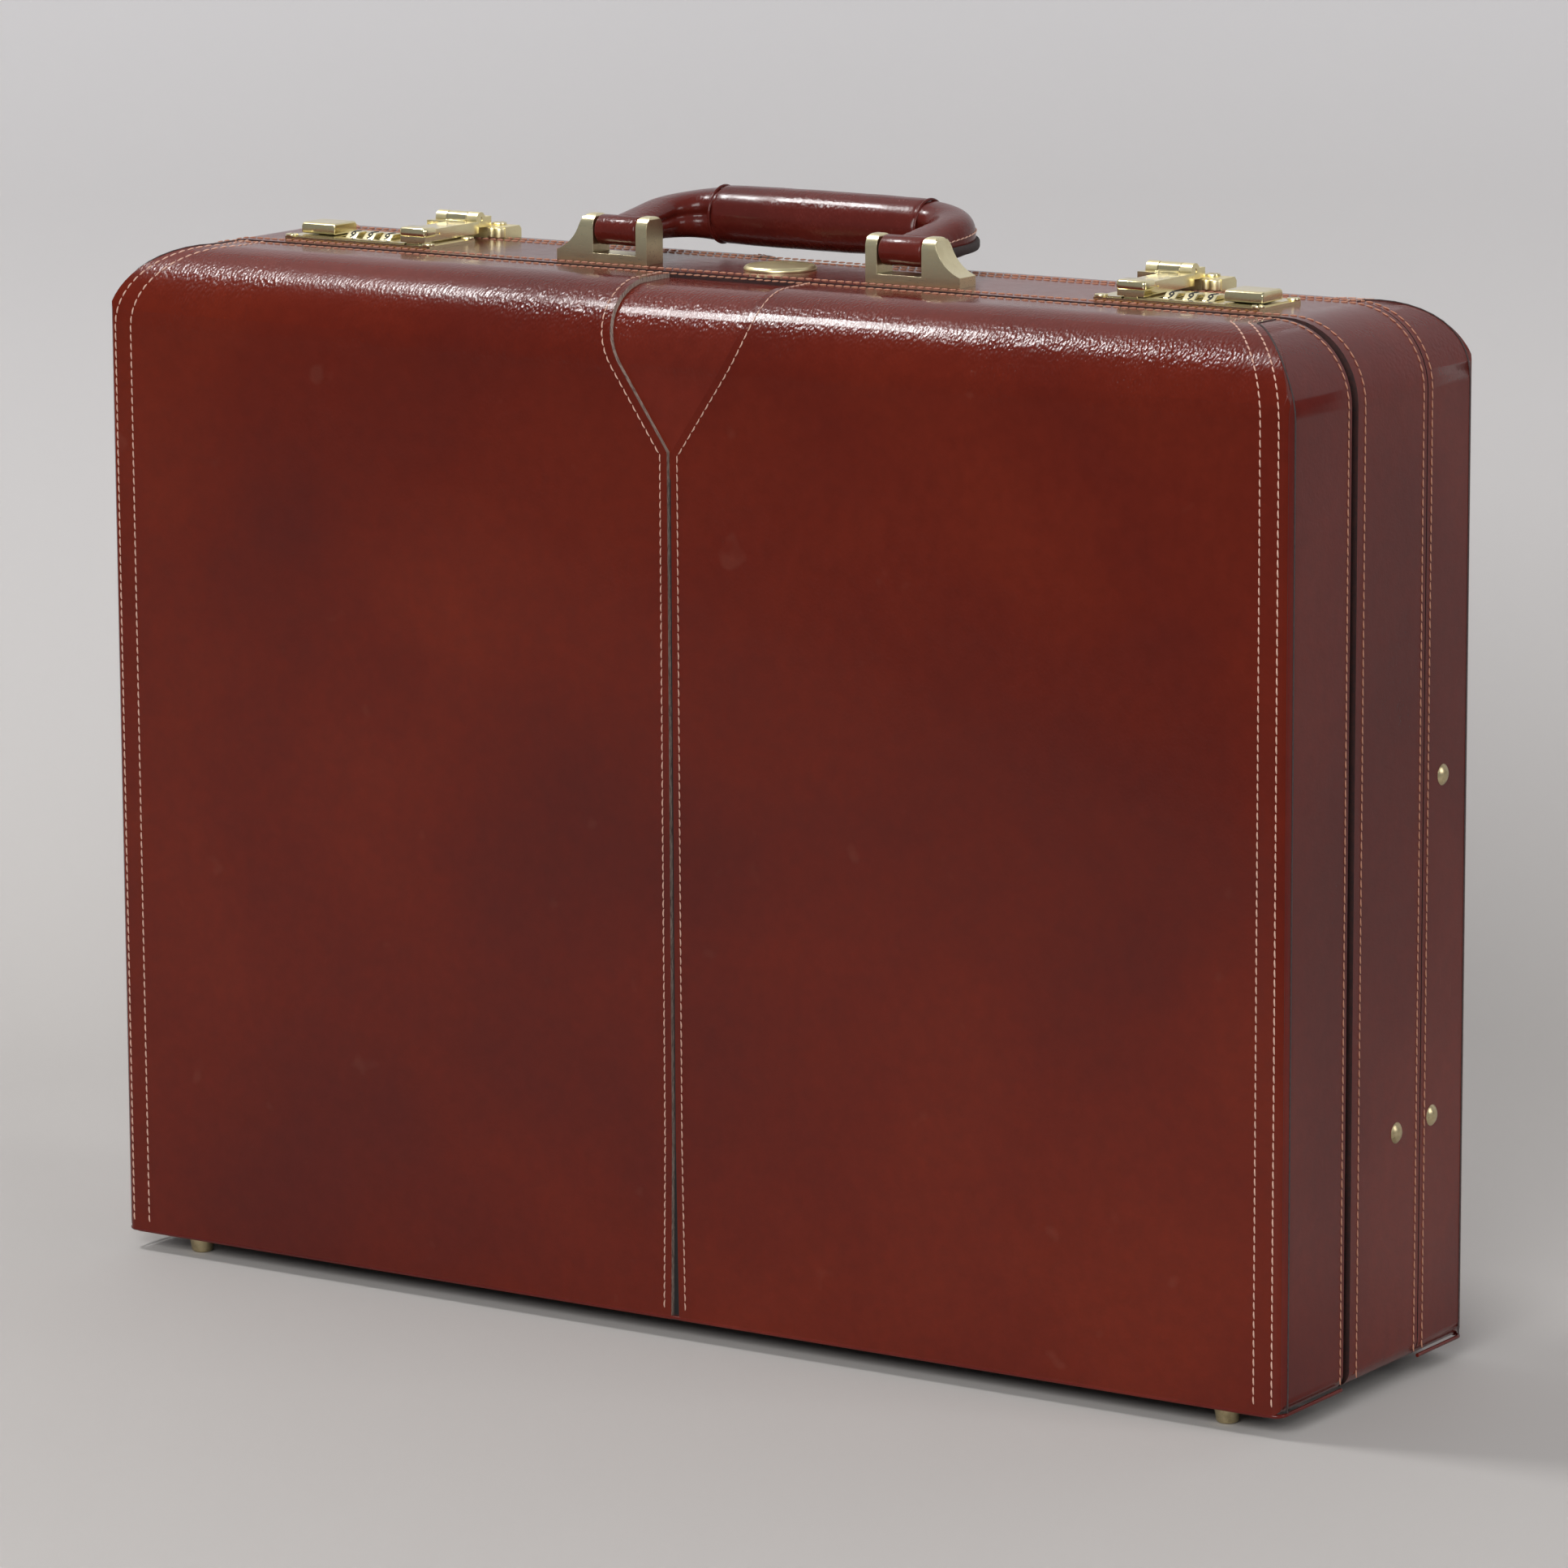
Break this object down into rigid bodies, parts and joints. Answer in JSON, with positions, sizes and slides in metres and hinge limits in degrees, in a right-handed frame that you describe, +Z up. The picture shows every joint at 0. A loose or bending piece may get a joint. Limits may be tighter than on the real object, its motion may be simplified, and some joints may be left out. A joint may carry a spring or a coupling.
{
  "type": "attache case",
  "caption": "Expanding leather attache case that stands on its long side, with a hinged lid, dial locks with hasps, and a padded folding handle.",
  "frame": {"origin": "middle of the case's footprint at floor level, where the four feet stand", "axes": "+X along the case's length, +Y from the front face to the lid, +Z up to the handle"},
  "size_m": [0.46, 0.12, 0.3704],
  "materials": {
    "face_leather": "glossy mottled oxblood",
    "side_leather": "glossy mottled oxblood",
    "panel_leather": "glossy, a little lighter",
    "black_cloth": "matt woven",
    "lining": "matt woven",
    "plywood": "raw",
    "dark_leather": "satin",
    "grip_leather": "satin",
    "polished_brass": "polished, pale",
    "satin_brass": "satin",
    "antique_brass": "antique"
  },
  "bodies": {
    "base": {"base_frame": "plywood", "base_leather": "side_leather", "base_lining": "lining", "base_lip": "dark_leather", "expansion_sleeve": "black_cloth", "lock_plate_left": "polished_brass", "lock_plate_right": "polished_brass", "lock_case_left": "satin_brass", "lock_case_right": "satin_brass", "lock_screws": "polished_brass", "handle_bracket_left": "satin_brass", "handle_bracket_right": "satin_brass", "handle_bars": "satin_brass", "handle_rivets": "antique_brass", "medallion": "polished_brass", "hinge_leaf_base": "satin_brass", "hinge_pin": "satin_brass", "base_rivets": "antique_brass"},
    "front_shell": {"front_frame": "plywood", "front_side_leather": "side_leather", "front_face_left": "face_leather", "front_face_right": "face_leather", "front_v_panel": "panel_leather", "front_seam_strip": "black_cloth", "front_lining": "lining", "front_feet": "antique_brass", "expansion_studs": "antique_brass"},
    "lid": {"lid_frame": "plywood", "lid_side_leather": "side_leather", "lid_face_left": "face_leather", "lid_face_right": "face_leather", "lid_v_panel": "panel_leather", "lid_seam_strip": "black_cloth", "lid_lining": "lining", "lid_feet": "antique_brass", "hinge_leaf_lid": "satin_brass", "lid_rivets": "antique_brass", "hasp_bracket_left": "polished_brass", "hasp_bracket_right": "polished_brass", "hasp_pins": "polished_brass", "hasp_screws": "polished_brass", "organizer": "dark_leather"},
    "handle": {"handle_grip": "grip_leather", "handle_arms": "dark_leather"},
    "slider_left": {"slider_left": "polished_brass"},
    "slider_right": {"slider_right": "polished_brass"},
    "dial_left_1": {"dial_left_1": "polished_brass"},
    "dial_left_2": {"dial_left_2": "polished_brass"},
    "dial_left_3": {"dial_left_3": "polished_brass"},
    "dial_right_1": {"dial_right_1": "polished_brass"},
    "dial_right_2": {"dial_right_2": "polished_brass"},
    "dial_right_3": {"dial_right_3": "polished_brass"},
    "hasp_left": {"hasp_left": "polished_brass"},
    "hasp_right": {"hasp_right": "polished_brass"},
    "stay_base_left": {"stay_base_left": "satin_brass"},
    "stay_base_right": {"stay_base_right": "satin_brass"},
    "stay_lid_left": {"stay_lid_left": "satin_brass"},
    "stay_lid_right": {"stay_lid_right": "satin_brass"}
  },
  "joints": [
    {"name": "expansion", "type": "slide", "parent": "base", "child": "front_shell", "axis": [0, -1, 0], "range_m": [0, 0.018]},
    {"name": "lid_hinge", "type": "hinge", "parent": "base", "child": "lid", "pos_m": [0, 0.0283, 0.0065], "axis": [-1, 0, 0], "range_deg": [0, 95]},
    {"name": "handle_fold", "type": "hinge", "parent": "base", "child": "handle", "pos_m": [0, -0.0045, 0.357], "axis": [1, 0, 0], "range_deg": [0, 172]},
    {"name": "hasp_left", "type": "hinge", "parent": "lid", "child": "hasp_left", "pos_m": [-0.143, 0.0255, 0.3529], "axis": [-1, 0, 0], "range_deg": [0, 95]},
    {"name": "hasp_right", "type": "hinge", "parent": "lid", "child": "hasp_right", "pos_m": [0.137, 0.0255, 0.3529], "axis": [-1, 0, 0], "range_deg": [0, 95]},
    {"name": "slider_left", "type": "slide", "parent": "base", "child": "slider_left", "axis": [-1, 0, 0], "range_m": [0, 0.004], "stiffness_N_per_m": 300, "springref_m": -0.001},
    {"name": "slider_right", "type": "slide", "parent": "base", "child": "slider_right", "axis": [1, 0, 0], "range_m": [0, 0.004], "stiffness_N_per_m": 300, "springref_m": -0.001},
    {"name": "dial_left_1", "type": "hinge", "parent": "base", "child": "dial_left_1", "pos_m": [-0.1532, 0, 0.3445], "axis": [1, 0, 0], "continuous": true},
    {"name": "dial_left_2", "type": "hinge", "parent": "base", "child": "dial_left_2", "pos_m": [-0.1603, 0, 0.3445], "axis": [1, 0, 0], "continuous": true},
    {"name": "dial_left_3", "type": "hinge", "parent": "base", "child": "dial_left_3", "pos_m": [-0.1674, 0, 0.3445], "axis": [1, 0, 0], "continuous": true},
    {"name": "dial_right_1", "type": "hinge", "parent": "base", "child": "dial_right_1", "pos_m": [0.1532, 0, 0.3445], "axis": [1, 0, 0], "continuous": true},
    {"name": "dial_right_2", "type": "hinge", "parent": "base", "child": "dial_right_2", "pos_m": [0.1603, 0, 0.3445], "axis": [1, 0, 0], "continuous": true},
    {"name": "dial_right_3", "type": "hinge", "parent": "base", "child": "dial_right_3", "pos_m": [0.1674, 0, 0.3445], "axis": [1, 0, 0], "continuous": true},
    {"name": "stay_base_left", "type": "hinge", "parent": "base", "child": "stay_base_left", "pos_m": [-0.21815, 0.0128, 0.084], "axis": [-1, 0, 0], "range_deg": [0, 95]},
    {"name": "stay_lid_left", "type": "hinge", "parent": "lid", "child": "stay_lid_left", "pos_m": [-0.21645, 0.0361, 0.08515], "axis": [-1, 0, 0], "range_deg": [-95, 0]},
    {"name": "stay_base_right", "type": "hinge", "parent": "base", "child": "stay_base_right", "pos_m": [0.21815, 0.0128, 0.084], "axis": [-1, 0, 0], "range_deg": [0, 95]},
    {"name": "stay_lid_right", "type": "hinge", "parent": "lid", "child": "stay_lid_right", "pos_m": [0.21645, 0.0361, 0.08515], "axis": [-1, 0, 0], "range_deg": [-95, 0]}
  ],
  "couplings": [
    {"joint": "stay_base_left", "follows": "lid_hinge", "ratio": 1},
    {"joint": "stay_lid_left", "follows": "lid_hinge", "ratio": -1},
    {"joint": "stay_base_right", "follows": "lid_hinge", "ratio": 1},
    {"joint": "stay_lid_right", "follows": "lid_hinge", "ratio": -1}
  ]
}
